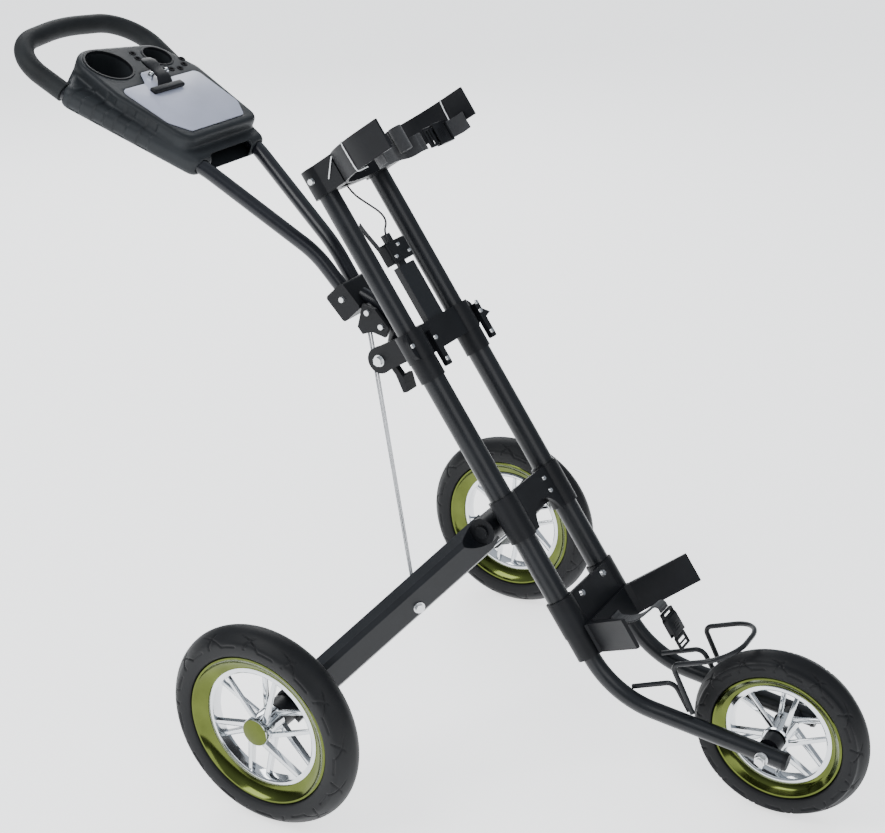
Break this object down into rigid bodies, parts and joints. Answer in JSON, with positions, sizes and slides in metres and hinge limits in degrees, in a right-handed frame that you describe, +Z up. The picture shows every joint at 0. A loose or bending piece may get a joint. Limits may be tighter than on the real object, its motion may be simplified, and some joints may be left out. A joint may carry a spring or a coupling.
{
  "type": "golf push trolley",
  "caption": "Three-wheeled folding push trolley with bag cradles, curved foam-grip handle and moulded handle tray.",
  "frame": {"origin": "on the ground below the middle of the whole trolley", "axes": "+X is the direction of travel, +Y the trolley's left, +Z up"},
  "size_m": [1.2786, 0.7402, 0.978],
  "materials": {
    "frame_paint": "satin powder coat",
    "handle_paint": "satin powder coat",
    "moulding": "fine-grain nylon moulding",
    "console": "charcoal moulding",
    "plate": "pale grey insert plate",
    "tyre": "solid tyre",
    "wheel": "plated spoked wheel",
    "hardware": "zinc-plated",
    "chrome": "plated",
    "foam": "closed-cell foam",
    "webbing": "woven webbing",
    "cord": "braided cord"
  },
  "bodies": {
    "frame": {"lower_tubes": "frame_paint", "upper_tubes": "frame_paint", "fork_tubes": "frame_paint", "fork_end_plugs": "moulding", "fork_sleeves": "moulding", "front_axle": "hardware", "front_axle_nuts": "hardware", "front_axle_spacers": "moulding", "axle_bracket": "moulding", "bracket_rivets": "hardware", "arm_pivot_pin": "moulding", "bag_rest_loop": "frame_paint", "bag_rest_braces": "frame_paint", "lower_cradle": "moulding", "cradle_bolts": "hardware", "mid_bracket": "moulding", "mid_sleeves": "moulding", "mid_bracket_lugs": "moulding", "handle_pivot_bracket": "moulding", "handle_pivot_bolt": "hardware", "lever_spring": "hardware", "latch_post": "frame_paint", "bag_yoke": "moulding", "buckle_bodies": "moulding", "straps": "webbing", "release_cord": "cord"},
    "handle": {"handle_link": "handle_paint", "handle_clamp": "moulding", "handle_tube_left": "handle_paint", "handle_tube_right": "handle_paint", "rod_yoke": "moulding", "handle_bolts": "hardware", "grip_bow": "handle_paint", "foam_grip": "foam", "tray_top": "console", "tray_bottom": "console", "scorecard_plate": "plate", "clip_base": "chrome"},
    "undercarriage": {"arm_knuckles": "moulding", "rear_arm_left": "frame_paint", "rear_arm_right": "frame_paint", "rear_axles": "moulding", "cross_stay": "hardware", "rod_clevis": "hardware", "rod_bolt": "hardware"},
    "pull_rods": {"pull_rods": "hardware"},
    "front_wheel": {"wheel_front": "wheel", "tyre_front": "tyre"},
    "rear_wheel_left": {"wheel_rear_left": "wheel", "tyre_rear_left": "tyre", "hub_cap_left": "moulding"},
    "rear_wheel_right": {"wheel_rear_right": "wheel", "tyre_rear_right": "tyre", "hub_cap_right": "moulding"},
    "lock_lever": {"lock_lever": "moulding"},
    "latch_catch": {"latch_catch": "moulding", "latch_catch_bolts": "hardware"},
    "scorecard_clip": {"scorecard_clip": "moulding"},
    "upper_tongue": {"upper_buckle_tongue": "moulding"},
    "lower_tongue": {"lower_buckle_tongue": "moulding"}
  },
  "joints": [
    {"name": "handle_fold", "type": "hinge", "parent": "frame", "child": "handle", "pos_m": [-0.07089, 0, 0.55461], "axis": [0, -1, 0], "range_deg": [0, 115]},
    {"name": "undercarriage_fold", "type": "hinge", "parent": "frame", "child": "undercarriage", "pos_m": [0.1149, 0, 0.35629], "axis": [0, -1, 0], "range_deg": [0, 71.9]},
    {"name": "pull_rod_swing", "type": "hinge", "parent": "handle", "child": "pull_rods", "pos_m": [-0.10416, -0.0076, 0.59], "axis": [0, -1, 0], "range_deg": [-92, 0]},
    {"name": "front_wheel_spin", "type": "hinge", "parent": "frame", "child": "front_wheel", "pos_m": [0.51884, 0, 0.1205], "axis": [0, 1, 0], "continuous": true},
    {"name": "rear_wheel_left_spin", "type": "hinge", "parent": "undercarriage", "child": "rear_wheel_left", "pos_m": [-0.06916, 0.345, 0.145], "axis": [0, 1, 0], "continuous": true},
    {"name": "rear_wheel_right_spin", "type": "hinge", "parent": "undercarriage", "child": "rear_wheel_right", "pos_m": [-0.06916, -0.345, 0.145], "axis": [0, 1, 0], "continuous": true},
    {"name": "lock_lever_swing", "type": "hinge", "parent": "frame", "child": "lock_lever", "pos_m": [-0.07089, 0, 0.55461], "axis": [0, -1, 0], "range_deg": [-18, 0], "stiffness_Nm_per_rad": 0.15},
    {"name": "catch_slide", "type": "slide", "parent": "frame", "child": "latch_catch", "axis": [-0.5534, 0, 0.8329], "range_m": [0, 0.006], "stiffness_N_per_m": 120},
    {"name": "clip_swing", "type": "hinge", "parent": "handle", "child": "scorecard_clip", "pos_m": [-0.4522, 0, 0.91295], "axis": [0, -1, 0], "range_deg": [0, 14], "stiffness_Nm_per_rad": 0.08},
    {"name": "upper_tongue_slide", "type": "slide", "parent": "frame", "child": "upper_tongue", "axis": [0, -1, 0], "range_m": [0, 0.0065]},
    {"name": "lower_tongue_slide", "type": "slide", "parent": "frame", "child": "lower_tongue", "axis": [0.5534, 0, -0.8329], "range_m": [0, 0.016]}
  ],
  "couplings": [
    {"joint": "undercarriage_fold", "follows": "handle_fold", "ratio": 0.625},
    {"joint": "pull_rod_swing", "follows": "handle_fold", "ratio": -0.8}
  ]
}
